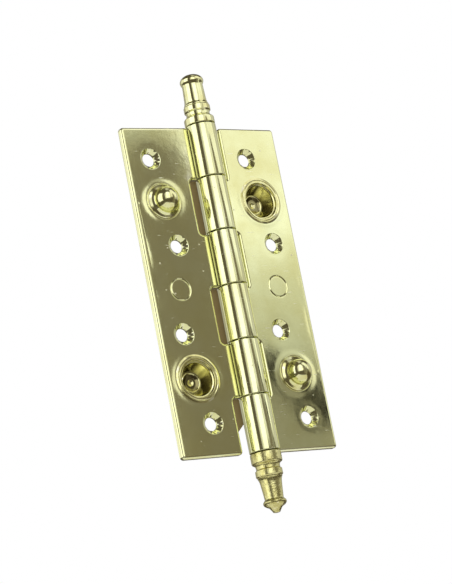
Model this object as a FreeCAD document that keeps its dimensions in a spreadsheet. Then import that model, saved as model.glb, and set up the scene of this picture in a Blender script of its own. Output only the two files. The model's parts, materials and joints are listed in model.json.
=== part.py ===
"""Security butt hinge with six rolled knuckles, two locking studs and two turned finials.

The frame leaf lies towards -X and the door leaf towards +X, with their countersunk faces
towards -Y. +Z runs up the pin, and the origin is on the pin's axis at half the leaf height.
"""
import FreeCAD, Part
import Sketcher
import math
import os

SIZES = {
    "leaf_height": 150.0,       # along the pin
    "leaf_reach": 40.8,         # pin axis to a leaf's outer edge
    "leaf_sheet": 3.0,          # sheet thickness, which is also the knuckle wall
    "closed_gap": 2.0,          # between the two faces when the hinge is shut
    "rest_tilt": 3.0,           # how far past flat the door leaf stands, in degrees
    "pin_radius": 3.75,
    "pin_play": 0.05,           # radial clearance of the pin in the knuckles
    "knuckle_count": 6.0,
    "knuckle_gap": 0.5,         # between neighbouring knuckles
    "seam_width": 0.3,          # slit where the rolled edge meets the leaf
    "notch_clearance": 3.4,     # notch edge to the barrel
    "notch_corner": 3.0,
    "outer_corner": 1.5,
    "edge_round": 1.2,          # worn round on the front edges
    "swage_round": 2.5,         # hollow curve behind the neck
    "screw_row": 40.2,          # spacing of the four screw rows
    "screw_outer": 28.5,        # outer screw column to the pin axis
    "screw_inner": 22.6,        # inner screw column to the pin axis
    "screw_hole": 6.0,
    "screw_sink": 9.7,
    "screw_sink_angle": 90.0,
    "lock_reach": 25.9,         # stud and socket centres to the pin axis
    "lock_rise": 40.4,          # stud and socket centres above or below mid height
    "lock_play": 0.02,          # radial play of the riveted stud and cup in the sheet
    "stud_dome": 5.7,
    "stud_centre": 2.6,         # dome centre above the leaf's face
    "stud_flange": 8.6,
    "stud_flange_rise": 0.45,
    "stud_flare": 7.8,          # foot of the hollow flare that carries the dome
    "stud_flare_top": 2.0,      # its top above the leaf's face
    "stud_shank": 5.0,
    "stud_rivet": 6.2,
    "stud_rivet_depth": 1.2,
    "cup_mouth": 8.3,
    "cup_floor": 4.6,
    "cup_depth": 6.7,
    "cup_wall": 1.0,
    "cup_flange": 11.0,
    "cup_flange_rise": 0.4,
    "cup_stake": 0.8,           # the cup's wall flared into the back of the sheet, flush with it
    "mark_radius": 5.2,         # plain ring pressed into the face
    "mark_width": 0.7,
    "mark_depth": 0.25,
    "finial_gap": 0.4,          # end knuckle to the finial
    "finial_edge": 0.6,
    "spigot_radius": 2.5,
    "spigot_length": 9.0,
    "spigot_play": 0.05,
    "spigot_end_gap": 1.0,
    "upper_collar": 3.6,
    "upper_neck": 5.3,
    "upper_bead": 6.5,
    "upper_bead_centre": 7.7,
    "upper_bead_half": 2.6,
    "upper_foot": 5.1,
    "upper_head": 4.6,
    "upper_column_end": 19.4,
    "upper_cap": 5.35,
    "upper_cap_centre": 21.0,
    "upper_cap_half": 3.3,
    "lower_collar": 4.8,
    "lower_neck": 5.3,
    "lower_bead": 6.7,
    "lower_bead_centre": 8.9,
    "lower_bead_half": 2.6,
    "lower_foot": 5.1,
    "lower_head": 4.0,
    "lower_column_end": 20.6,
    "lower_cap": 5.15,
    "lower_cap_centre": 22.0,
    "lower_cap_half": 2.4,
    "lower_tip": 1.4,
    "lower_tip_end": 26.5,
}

DOWN = FreeCAD.Vector(0, 0, -1)
FRONT = FreeCAD.Vector(0, -1, 0)
TOLERANCE = 1e-4

doc = FreeCAD.newDocument("door_hinge")
sheet = doc.addObject("Spreadsheet::Sheet", "Sizes")
for row, (alias, value) in enumerate(SIZES.items(), start=1):
    sheet.set(f"A{row}", alias)
    sheet.set(f"B{row}", str(value))
    sheet.setAlias(f"B{row}", alias)
doc.recompute()

# Lengths that several pieces share, written once as expressions on the sheet.
FACE = "Sizes.closed_gap / 2"
BORE = "(Sizes.pin_radius + Sizes.pin_play)"
BARREL = f"({BORE} + Sizes.leaf_sheet)"
NOTCH = f"({BARREL} + Sizes.notch_clearance)"
TOP = "Sizes.leaf_height / 2"
KNUCKLE = "((Sizes.leaf_height - (Sizes.knuckle_count - 1) * Sizes.knuckle_gap) / Sizes.knuckle_count)"
PITCH = f"({KNUCKLE} + Sizes.knuckle_gap)"
CUP = "(Sizes.cup_mouth + Sizes.cup_wall)"
OWN_KNUCKLES = 3
OWN_SPAN = f"{PITCH} * 2 * ({OWN_KNUCKLES} - 1)"


def make_body(label):
    body = doc.addObject("PartDesign::Body", label)
    body.Label = label
    return body


def origin_plane(body, role):
    return next(item for item in body.Origin.OriginFeatures if item.Role == role)


def add_sketch(body, name, role, offset):
    """A sketch on one of the body's own origin planes, moved along the plane's normal."""
    sketch = body.newObject("Sketcher::SketchObject", name)
    sketch.AttachmentSupport = [(origin_plane(body, role), "")]
    sketch.MapMode = "FlatFace"
    sketch.setExpression("AttachmentOffset.Base.z", offset)
    return sketch


def bind_point(sketch, geometry, point, across, up):
    """Dimension one point of the geometry from the sketch's origin."""
    for kind, expression in (("DistanceX", across), ("DistanceY", up)):
        index = sketch.addConstraint(Sketcher.Constraint(kind, -1, 1, geometry, point, 1.0))
        sketch.setExpression(f"Constraints[{index}]", expression)


def add_outline(sketch, corners):
    """A closed polygon; it starts as a regular one, and the dimensions pull each corner home."""
    count = len(corners)
    start = [
        FreeCAD.Vector(math.cos(2 * math.pi * i / count), math.sin(2 * math.pi * i / count), 0)
        for i in range(count)
    ]
    lines = [
        sketch.addGeometry(Part.LineSegment(start[i], start[(i + 1) % count]))
        for i in range(count)
    ]
    for i, line in enumerate(lines):
        sketch.addConstraint(Sketcher.Constraint("Coincident", line, 2, lines[(i + 1) % count], 1))
    for line, (across, up) in zip(lines, corners):
        bind_point(sketch, line, 1, across, up)


def add_box(sketch, left, right, low, high):
    add_outline(sketch, [(left, low), (right, low), (right, high), (left, high)])


def add_circle(sketch, across, up, radius):
    circle = sketch.addGeometry(Part.Circle(FreeCAD.Vector(0, 0, 0), FreeCAD.Vector(0, 0, 1), 1.0))
    bind_point(sketch, circle, 3, across, up)
    index = sketch.addConstraint(Sketcher.Constraint("Radius", circle, 1.0))
    sketch.setExpression(f"Constraints[{index}]", radius)


def add_pad(body, name, sketch, length):
    pad = body.newObject("PartDesign::Pad", name)
    pad.Profile = sketch
    pad.setExpression("Length", length)
    return pad


def add_pocket(body, name, sketch, length):
    """A pocket that goes into the solid, against the sketch's normal."""
    pocket = body.newObject("PartDesign::Pocket", name)
    pocket.Profile = sketch
    pocket.setExpression("Length", length)
    return pocket


def add_row(body, name, feature, sketch):
    """The feature repeated down the pin, once for each of the leaf's own knuckles."""
    row = body.newObject("PartDesign::LinearPattern", name)
    row.Originals = [feature]
    row.Direction = (sketch, ["V_Axis"])
    row.Reversed = True
    row.setExpression("Length", OWN_SPAN)
    row.Occurrences = OWN_KNUCKLES
    body.Tip = row
    return row


def add_fillet(body, name, base, chosen, radius):
    """Round the edges of the last feature that the chosen test picks."""
    doc.recompute()
    names = [f"Edge{i}" for i, edge in enumerate(base.Shape.Edges, start=1) if chosen(edge)]
    if not names:
        raise RuntimeError(f"{name} found no edge")
    fillet = body.newObject("PartDesign::Fillet", name)
    fillet.Base = (base, names)
    fillet.setExpression("Radius", radius)
    return fillet


def add_turned(body, kind, name, height, **sizes):
    """A round feature about the body's own Z axis, standing at a height along it."""
    feature = body.newObject("PartDesign::" + kind, name)
    feature.AttachmentSupport = [(origin_plane(body, "XY_Plane"), "")]
    feature.MapMode = "FlatFace"
    feature.setExpression("AttachmentOffset.Base.z", height)
    for size, expression in sizes.items():
        feature.setExpression(size, expression)
    return feature


def add_back_sink(body, name, height, wide, narrow, depth):
    """A sink in the back of the sheet, on the locks' column, for a rivet or a staked wall."""
    sink = body.newObject("PartDesign::SubtractiveCone", name)
    sink.AttachmentSupport = [(origin_plane(body, "XZ_Plane"), "")]
    sink.MapMode = "FlatFace"
    sink.setExpression("AttachmentOffset.Base.x", "-Sizes.lock_reach")
    sink.setExpression("AttachmentOffset.Base.y", height)
    sink.setExpression("AttachmentOffset.Base.z", f"-({FACE} + Sizes.leaf_sheet)")
    sink.setExpression("Radius1", f"{wide} + Sizes.lock_play")
    sink.setExpression("Radius2", f"{narrow} + Sizes.lock_play")
    sink.setExpression("Height", depth)


def along(edge, direction):
    """True for a straight edge that runs along the direction."""
    ends = [vertex.Point for vertex in edge.Vertexes]
    if edge.Curve.TypeId != "Part::GeomLine" or len(ends) != 2:
        return False
    return (ends[1] - ends[0]).normalize().cross(direction).Length < TOLERANCE


def near(first, second):
    return abs(first - second) < TOLERANCE


def make_leaf(label):
    """One leaf as the frame leaf lies; both leaves are the same pressing."""
    body = make_body(label)
    height = sheet.leaf_height
    face = sheet.closed_gap / 2
    barrel = sheet.pin_radius + sheet.pin_play + sheet.leaf_sheet
    notch = barrel + sheet.notch_clearance

    blank = add_sketch(body, "blank_outline", "XZ_Plane", f"-({FACE} + Sizes.leaf_sheet)")
    add_box(blank, "-Sizes.leaf_reach", f"-{NOTCH}", f"-{TOP}", TOP)
    add_pad(body, "blank", blank, "Sizes.leaf_sheet")

    neck = add_sketch(body, "neck_outline", "XZ_Plane", f"-({FACE} + Sizes.leaf_sheet)")
    add_box(neck, f"-{NOTCH}", "-Sizes.pin_radius", f"{TOP} - {KNUCKLE}", TOP)
    first_neck = add_pad(body, "neck", neck, "Sizes.leaf_sheet")
    necks = add_row(body, "necks", first_neck, neck)

    def at_notch_root(edge):
        middle = edge.CenterOfMass
        inside = abs(middle.z) < height / 2 - TOLERANCE
        return along(edge, FRONT) and near(middle.x, -notch) and inside

    def at_outer_corner(edge):
        middle = edge.CenterOfMass
        end = near(abs(middle.z), height / 2)
        return along(edge, FRONT) and end and (near(middle.x, -sheet.leaf_reach) or near(middle.x, -notch))

    def on_front_rim(edge):
        level = all(near(vertex.Y, face) for vertex in edge.Vertexes)
        return level and edge.CenterOfMass.x < -sheet.pin_radius - TOLERANCE

    roots = add_fillet(body, "notch_corners", necks, at_notch_root, "Sizes.notch_corner")
    corners = add_fillet(body, "outer_corners", roots, at_outer_corner, "Sizes.outer_corner")
    rim = add_fillet(body, "front_edges", corners, on_front_rim, "Sizes.edge_round")
    body.Tip = rim

    ring = add_sketch(body, "knuckle_profile", "XZ_Plane", "0")
    add_box(ring, BORE, BARREL, f"{TOP} - {KNUCKLE}", TOP)
    knuckle = body.newObject("PartDesign::Revolution", "knuckle")
    knuckle.Profile = ring
    knuckle.ReferenceAxis = (ring, ["V_Axis"])
    knuckle.Angle = 360.0
    knuckles = add_row(body, "knuckles", knuckle, ring)

    def behind_neck(edge):
        middle = edge.CenterOfMass
        back = face + sheet.leaf_sheet
        return along(edge, DOWN) and near(middle.y, back) and abs(middle.x) < barrel

    add_fillet(body, "swage", knuckles, behind_neck, "Sizes.swage_round")

    bore = add_sketch(body, "bore_outline", "XY_Plane", f"{TOP} + 1")
    add_circle(bore, "0", "0", BORE)
    add_pocket(body, "bore", bore, "Sizes.leaf_height + 2")

    seam = add_sketch(body, "seam_outline", "XY_Plane", f"{TOP} + 1")
    add_box(seam, f"-({BARREL} + 1)", "-Sizes.pin_radius + 1", f"{FACE} - Sizes.seam_width", FACE)
    add_pocket(body, "seam", seam, "Sizes.leaf_height + 2")

    screws = add_sketch(body, "screw_centres", "XZ_Plane", f"-{FACE}")
    staggered = (("outer", 1.5), ("inner", 0.5), ("outer", -0.5), ("inner", -1.5))
    for column, rows in staggered:
        add_circle(screws, f"-Sizes.screw_{column}", f"Sizes.screw_row * {rows}", "Sizes.screw_hole / 2")
    doc.recompute()
    hole = body.newObject("PartDesign::Hole", "screw_holes")
    hole.Profile = screws
    hole.DepthType = "ThroughAll"
    hole.setExpression("Diameter", "Sizes.screw_hole")
    hole.HoleCutType = "Countersink"
    hole.HoleCutCustomValues = True
    hole.setExpression("HoleCutDiameter", "Sizes.screw_sink")
    hole.setExpression("HoleCutCountersinkAngle", "Sizes.screw_sink_angle")

    locks = add_sketch(body, "lock_centres", "XZ_Plane", f"-{FACE}")
    add_circle(locks, "-Sizes.lock_reach", "Sizes.lock_rise", "Sizes.stud_shank + Sizes.lock_play")
    add_circle(locks, "-Sizes.lock_reach", "-Sizes.lock_rise", f"{CUP} + Sizes.lock_play")
    add_pocket(body, "lock_holes", locks, "Sizes.leaf_sheet + 1")

    doc.recompute()
    add_back_sink(body, "rivet_sink", "Sizes.lock_rise", "Sizes.stud_rivet", "Sizes.stud_shank",
                  "Sizes.stud_rivet_depth")
    add_back_sink(body, "stake_sink", "-Sizes.lock_rise", f"{CUP} + Sizes.cup_stake", CUP,
                  "Sizes.cup_stake")

    mark = add_sketch(body, "mark_outline", "XZ_Plane", f"-{FACE}")
    add_circle(mark, "-Sizes.lock_reach", "0", "Sizes.mark_radius")
    add_circle(mark, "-Sizes.lock_reach", "0", "Sizes.mark_radius - Sizes.mark_width")
    add_pocket(body, "mark", mark, "Sizes.mark_depth")
    return body


def make_stud(label):
    """A domed locking stud; its Z axis points out of the leaf's face, from the face."""
    body = make_body(label)
    depth = "Sizes.leaf_sheet"
    add_turned(body, "AdditiveCylinder", "shank", f"-{depth}", Radius="Sizes.stud_shank",
               Height=f"{depth} + Sizes.stud_flange_rise / 2")
    add_turned(body, "AdditiveCone", "rivet", f"-{depth}", Radius1="Sizes.stud_rivet",
               Radius2="Sizes.stud_shank", Height="Sizes.stud_rivet_depth")
    add_turned(body, "AdditiveCylinder", "flange", "0", Radius="Sizes.stud_flange",
               Height="Sizes.stud_flange_rise")
    add_turned(body, "AdditiveCone", "flare", "Sizes.stud_flange_rise", Radius1="Sizes.stud_flare",
               Radius2="Sizes.stud_dome", Height="Sizes.stud_flare_top - Sizes.stud_flange_rise")
    add_turned(body, "AdditiveCylinder", "neck", "Sizes.stud_flange_rise", Radius="Sizes.stud_dome",
               Height="Sizes.stud_centre - Sizes.stud_flange_rise")
    dome = add_turned(body, "AdditiveSphere", "dome", "Sizes.stud_centre", Radius="Sizes.stud_dome")
    dome.Angle1 = 0.0
    dome.Angle2 = 90.0
    return body


def make_socket(label):
    """A pressed cup that receives the other leaf's stud; its Z axis points out of its mouth."""
    body = make_body(label)
    wall = "Sizes.cup_wall"
    sheet_back = "-Sizes.leaf_sheet"
    add_turned(body, "AdditiveCylinder", "sleeve", sheet_back, Radius=CUP,
               Height="Sizes.leaf_sheet + Sizes.cup_flange_rise")
    add_turned(body, "AdditiveCylinder", "flange", "0", Radius="Sizes.cup_flange",
               Height="Sizes.cup_flange_rise")
    add_turned(body, "AdditiveCone", "stake", sheet_back, Radius1=f"{CUP} + Sizes.cup_stake",
               Radius2=CUP, Height="Sizes.cup_stake")
    add_turned(body, "AdditiveCone", "cup", f"-(Sizes.cup_depth + {wall})",
               Radius1=f"Sizes.cup_floor + {wall}", Radius2=CUP,
               Height=f"Sizes.cup_depth + {wall} - Sizes.leaf_sheet")
    add_turned(body, "SubtractiveCone", "hollow", "-Sizes.cup_depth", Radius1="Sizes.cup_floor",
               Radius2="Sizes.cup_mouth", Height="Sizes.cup_depth + Sizes.cup_flange_rise")
    return body


def make_pin(label):
    """The plain pin with a spigot at each end for the finials."""
    body = make_body(label)
    shoulder = f"({TOP} + Sizes.finial_gap)"
    add_turned(body, "AdditiveCylinder", "shaft", f"-{shoulder}", Radius="Sizes.pin_radius",
               Height=f"2 * {shoulder}")
    add_turned(body, "AdditiveCylinder", "upper_spigot", shoulder, Radius="Sizes.spigot_radius",
               Height="Sizes.spigot_length")
    add_turned(body, "AdditiveCylinder", "lower_spigot", f"-{shoulder} - Sizes.spigot_length",
               Radius="Sizes.spigot_radius", Height="Sizes.spigot_length")
    return body


def make_finial(label, end):
    """A turned finial; its Z axis points away from the knuckles, from its seat on the pin."""
    body = make_body(label)

    def size(name):
        return f"Sizes.{end}_{name}"

    collar = add_turned(body, "AdditiveCylinder", "collar", "0", Radius=BARREL, Height=size("collar"))
    radius = sheet.pin_radius + sheet.pin_play + sheet.leaf_sheet

    def on_collar_rim(edge):
        return edge.Curve.TypeId == "Part::GeomCircle" and near(edge.Curve.Radius, radius)

    add_fillet(body, "collar_round", collar, on_collar_rim, "Sizes.finial_edge")
    add_turned(body, "AdditiveCylinder", "neck", size("collar"), Radius=size("neck"),
               Height=f"{size('bead_centre')} - {size('collar')}")
    add_turned(body, "AdditiveEllipsoid", "bead", size("bead_centre"), Radius1=size("bead_half"),
               Radius2=size("bead"), Radius3=size("bead"))
    add_turned(body, "AdditiveCone", "column", size("bead_centre"), Radius1=size("foot"),
               Radius2=size("head"), Height=f"{size('column_end')} - {size('bead_centre')}")
    add_turned(body, "AdditiveEllipsoid", "cap", size("cap_centre"), Radius1=size("cap_half"),
               Radius2=size("cap"), Radius3=size("cap"))
    if end == "lower":
        add_turned(body, "AdditiveCone", "tip", size("cap_centre"), Radius1=f"{size('cap')} - 0.2",
                   Radius2=size("tip"), Height=f"{size('tip_end')} - {size('cap_centre')}")
    add_turned(body, "SubtractiveCylinder", "spigot_hole", "0",
               Radius="Sizes.spigot_radius + Sizes.spigot_play",
               Height="Sizes.spigot_length + Sizes.spigot_end_gap")
    return body


def stand(label, position, direction):
    """Where a turned piece stands: its Z axis along the direction, on the frame leaf's side."""
    turn = FreeCAD.Rotation(FreeCAD.Vector(0, 0, 1), FreeCAD.Vector(*direction))
    return FreeCAD.Placement(FreeCAD.Vector(*position), turn)


def check_document():
    for item in doc.Objects:
        if "Invalid" in item.State or "Error" in item.State:
            raise RuntimeError(f"{item.Name} failed: {item.State}")


def export(bodies):
    os.makedirs("parts", exist_ok=True)
    for body in bodies:
        shape = body.Shape
        if shape.isNull() or not shape.isValid() or len(shape.Solids) != 1:
            raise RuntimeError(f"{body.Label} is not one sound solid")
    for body in bodies:
        body.Shape.exportStep(f"parts/{body.Label}.step")
        print(f"{body.Label}: {body.Shape.Volume:.0f} mm3")


face_offset = sheet.closed_gap / 2
seat = sheet.leaf_height / 2 + sheet.finial_gap
stud_place = stand("stud", (-sheet.lock_reach, face_offset, sheet.lock_rise), (0, -1, 0))
socket_place = stand("socket", (-sheet.lock_reach, face_offset, -sheet.lock_rise), (0, -1, 0))

# The door leaf is the frame leaf turned end for end, then tilted back about the pin.
end_for_end = FreeCAD.Placement(FreeCAD.Vector(), FreeCAD.Rotation(FreeCAD.Vector(0, 1, 0), 180))
tilted_back = FreeCAD.Placement(
    FreeCAD.Vector(), FreeCAD.Rotation(FreeCAD.Vector(0, 0, 1), sheet.rest_tilt)
)
door_side = tilted_back.multiply(end_for_end)

bodies = []
for side, place in (("frame", FreeCAD.Placement()), ("door", door_side)):
    leaf = make_leaf(f"{side}_leaf")
    leaf.Placement = place
    stud = make_stud(f"{side}_stud")
    stud.Placement = place.multiply(stud_place)
    socket = make_socket(f"{side}_socket")
    socket.Placement = place.multiply(socket_place)
    bodies += [leaf, stud, socket]

pin = make_pin("hinge_pin")
upper_finial = make_finial("upper_finial", "upper")
upper_finial.Placement = stand("upper", (0, 0, seat), (0, 0, 1))
lower_finial = make_finial("lower_finial", "lower")
lower_finial.Placement = stand("lower", (0, 0, -seat), (0, 0, -1))
bodies += [pin, upper_finial, lower_finial]

doc.recompute()
check_document()
export(bodies)
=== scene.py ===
import json
import math

import bmesh
import bpy
from mathutils import Matrix, Vector, geometry, noise


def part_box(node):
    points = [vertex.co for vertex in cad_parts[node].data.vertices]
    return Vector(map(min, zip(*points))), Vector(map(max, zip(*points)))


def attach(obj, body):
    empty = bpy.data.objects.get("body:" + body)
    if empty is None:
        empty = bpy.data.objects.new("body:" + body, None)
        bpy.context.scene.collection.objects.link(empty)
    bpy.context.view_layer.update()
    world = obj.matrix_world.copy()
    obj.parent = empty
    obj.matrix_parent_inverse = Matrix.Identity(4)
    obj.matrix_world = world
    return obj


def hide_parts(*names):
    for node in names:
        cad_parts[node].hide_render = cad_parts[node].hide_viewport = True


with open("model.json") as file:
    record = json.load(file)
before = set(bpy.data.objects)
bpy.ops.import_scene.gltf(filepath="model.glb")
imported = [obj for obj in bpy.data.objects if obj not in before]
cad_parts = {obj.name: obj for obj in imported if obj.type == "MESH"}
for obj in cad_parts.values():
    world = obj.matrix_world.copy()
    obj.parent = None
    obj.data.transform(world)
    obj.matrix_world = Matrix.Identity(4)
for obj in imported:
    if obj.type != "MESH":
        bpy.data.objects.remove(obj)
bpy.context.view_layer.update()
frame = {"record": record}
record = frame["record"]
mm = 0.001
tiny = 1e-6  # millimetres; less than this counts as nothing
weld = 1e-7  # metres; points closer than this are one
sharpFrom = 32.0  # degrees; edges that turn by more than this stay crisp


def hexToLinear(code):
    channels = [int(code[i:i + 2], 16) / 255 for i in (1, 3, 5)]
    linear = [c / 12.92 if c <= 0.04045 else ((c + 0.055) / 1.055) ** 2.4 for c in channels]
    return (*linear, 1.0)


def addNode(tree, kind, settings=None, links=None):
    # settings go to the node's own properties or, by socket name or number, to its inputs
    node = tree.nodes.new(kind)
    for key, value in (settings or {}).items():
        if isinstance(key, str) and hasattr(node, key):
            setattr(node, key, value)
        else:
            node.inputs[key].default_value = value
    for key, source in (links or {}).items():
        tree.links.new(source, node.inputs[key])
    return node


def ringPoints(centreX, centreZ, radius, count):
    turns = [2 * math.pi * i / count for i in range(count)]
    return [(centreX + radius * math.cos(turn), centreZ + radius * math.sin(turn)) for turn in turns]


def quarterTurn(steps, first=1):
    # cosine and sine of equal steps up to 90 degrees; the last cosine is exactly nothing
    turns = [(k, math.pi / 2 * k / steps) for k in range(first, steps + 1)]
    return [(math.cos(turn) if k < steps else 0.0, math.sin(turn)) for k, turn in turns]


def roundedPath(corners, steps=5):
    # corners are (across, up, fillet); every fillet becomes a tangent arc
    most = 0.49  # the share of a side that one fillet may take
    path = []
    for i, (x, y, fillet) in enumerate(corners):
        if fillet <= 0 or i in (0, len(corners) - 1):
            path.append((x, y))
            continue
        here = Vector((x, y))
        before = Vector(corners[i - 1][:2]) - here
        after = Vector(corners[i + 1][:2]) - here
        half = before.angle(after) / 2
        reach = min(fillet / math.tan(half), most * before.length, most * after.length)
        radius = reach * math.tan(half)
        inward = (before.normalized() + after.normalized()).normalized()
        middle = here + inward * (radius / math.sin(half))
        start = here + before.normalized() * reach - middle
        sweep = start.angle_signed(here + after.normalized() * reach - middle)
        for k in range(steps + 1):
            turned = start.copy()
            turned.rotate(Matrix.Rotation(-sweep * k / steps, 2))
            path.append(tuple(middle + turned))
    return path


def meshObject(name, bm):
    mesh = bpy.data.meshes.new(name)
    bm.to_mesh(mesh)
    bm.free()
    mesh.shade_smooth()
    mesh.set_sharp_from_angle(angle=math.radians(sharpFrom))
    piece = bpy.data.objects.new(name, mesh)
    bpy.context.scene.collection.objects.link(piece)
    return piece


def finish(piece, body, slot, material, *nodes):
    piece.data.materials.clear()
    piece.data.materials.append(material)
    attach(piece, body)
    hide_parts(*nodes)


def turnedPiece(name, profile, place, segments=96, insideShade=None):
    # a profile of (radius, height) in millimetres, from the axis round to the axis, outside on the left
    bm = bmesh.new()
    rings = []
    for radius, height in profile:
        if radius < tiny:
            rings.append([bm.verts.new((0, 0, height * mm))])
            continue
        ring = ringPoints(0, 0, radius, segments)
        rings.append([bm.verts.new((x * mm, y * mm, height * mm)) for x, y in ring])
    for low, high in zip(rings, rings[1:]):
        for i in range(segments):
            j = (i + 1) % segments
            corners = [low[i % len(low)], low[j % len(low)], high[j % len(high)], high[i % len(high)]]
            unique = list(dict.fromkeys(corners))
            if len(unique) > 2:
                bm.faces.new(unique)
    bmesh.ops.remove_doubles(bm, verts=bm.verts, dist=weld)
    bmesh.ops.recalc_face_normals(bm, faces=bm.faces)
    # each point may carry a share of painted shade, stored as its inside attribute
    if insideShade:
        layer = bm.verts.layers.float.new("inside")
        for vert in bm.verts:
            vert[layer] = insideShade(math.hypot(vert.co.x, vert.co.y) / mm, vert.co.z / mm)
    bm.transform(place)
    return meshObject(name, bm)


def evaluatedMesh(source, name):
    # what the modifiers make of the object, as a plain mesh
    graph = bpy.context.evaluated_depsgraph_get()
    mesh = bpy.data.meshes.new_from_object(source.evaluated_get(graph))
    mesh.name = name
    source.modifiers.clear()
    return mesh


cameraSet = {
    "azimuth": -33.69, "elevation": -13.55, "roll": -11.19,
    "shift": (2.70, -2.36), "distance": 1025.7, "focal": 185.8, "sensor": 36.0, "nearest": 0.01,
}


def makeCamera(s):
    az, el, roll = (math.radians(s[k]) for k in ("azimuth", "elevation", "roll"))
    back = Vector((math.sin(az) * math.cos(el), -math.cos(az) * math.cos(el), math.sin(el)))
    right = (-back).cross(Vector((0, 0, 1))).normalized()
    up = right.cross(-back)
    turnedRight = right * math.cos(roll) + up * math.sin(roll)
    turnedUp = up * math.cos(roll) - right * math.sin(roll)
    turn = Matrix((turnedRight, turnedUp, back)).transposed()
    place = turn @ Vector((-s["shift"][0], s["shift"][1], s["distance"])) * mm
    data = bpy.data.cameras.new("studioCamera")
    data.sensor_fit = "HORIZONTAL"
    data.sensor_width = s["sensor"]
    data.lens = s["focal"]
    data.clip_start = s["nearest"]
    camera = bpy.data.objects.new("studioCamera", data)
    camera.matrix_world = Matrix.Translation(place) @ turn.to_4x4()
    bpy.context.scene.collection.objects.link(camera)
    bpy.context.scene.camera = camera


makeCamera(cameraSet)
bpy.context.scene.view_settings.view_transform = "Standard"
print("camera placed")


# Each card is a soft white board round the hinge: azimuth 0 is straight in front of the leaves.
studioSet = {
    "dark": "#5d564c", "cardColour": "#ffffff", "backdrop": "#ffffff",
    "cards": {  # azimuth and width, elevation and height, strength, soft edge; angles in degrees
        "farLeft": (-126, 44, 16, 50, 0.85, 8),
        "leftBoard": (-87, 38, 16, 62, 1.5, 6),
        "cameraSide": (-35, 14, 18, 50, 0.75, 10),
        "keyBoard": (-14, 30, 24, 56, 1.45, 6),
        "keyTail": (12, 24, 24, 46, 0.75, 8),
        "rightBoard": (44, 44, 33, 54, 0.95, 8),
        "rightFill": (78, 30, 14, 40, 0.50, 10),
        "sideFill": (112, 44, 14, 40, 0.40, 14),
        "rear": (190, 50, 16, 50, 0.35, 12),
        "top": (60, 130, 80, 22, 0.50, 14),
    },
    "floor": "#f7f6f2", "floorRoughness": 0.9, "floorGlow": 0.35, "floorDrop": 0.75, "floorSize": 1.6,
    "groundScale": 6.0, "groundDrop": 0.002,
}
# A graded grey flag close to the hinge keeps the key light off the left leaf and lets it fall
# away down the right one; a thin darker flag in front of it shades the right leaf's lower corner.
flagSet = {
    "azimuth": 24.0, "distance": 175.0,
    "outline": [(-20, -130), (96, -130), (96, 96), (40, 96), (30, 84), (13, 142), (-20, 142)],
    "leftLow": "#787166", "leftHigh": "#b6b4ab", "leftRise": (121, 138),
    "change": (28, 50), "rightSpan": (-60, 110),
    "rightTones": ((0.0, "#8b877e"), (0.27, "#8f8b82"), (0.37, "#b6b5ae"), (0.60, "#d3d3cd"),
                   (0.80, "#ffffff")),
    "brightness": 1.12,
}
cornerFlagSet = {
    "azimuth": 24.0, "distance": 170.0, "tone": "#221e16", "brightness": 1.0,
    "outline": [(53, -2), (84, -39), (97, -33), (88, -10), (61, 10)],
}


def mattPaint(name, colour, roughness, glowColour, glow):
    paint = bpy.data.materials.new(name)
    paint.use_nodes = True
    shader = paint.node_tree.nodes["Principled BSDF"]
    for label, value in (("Base Color", hexToLinear(colour)), ("Roughness", roughness),
                         ("Emission Color", hexToLinear(glowColour)), ("Emission Strength", glow)):
        shader.inputs[label].default_value = value
    return paint


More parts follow.
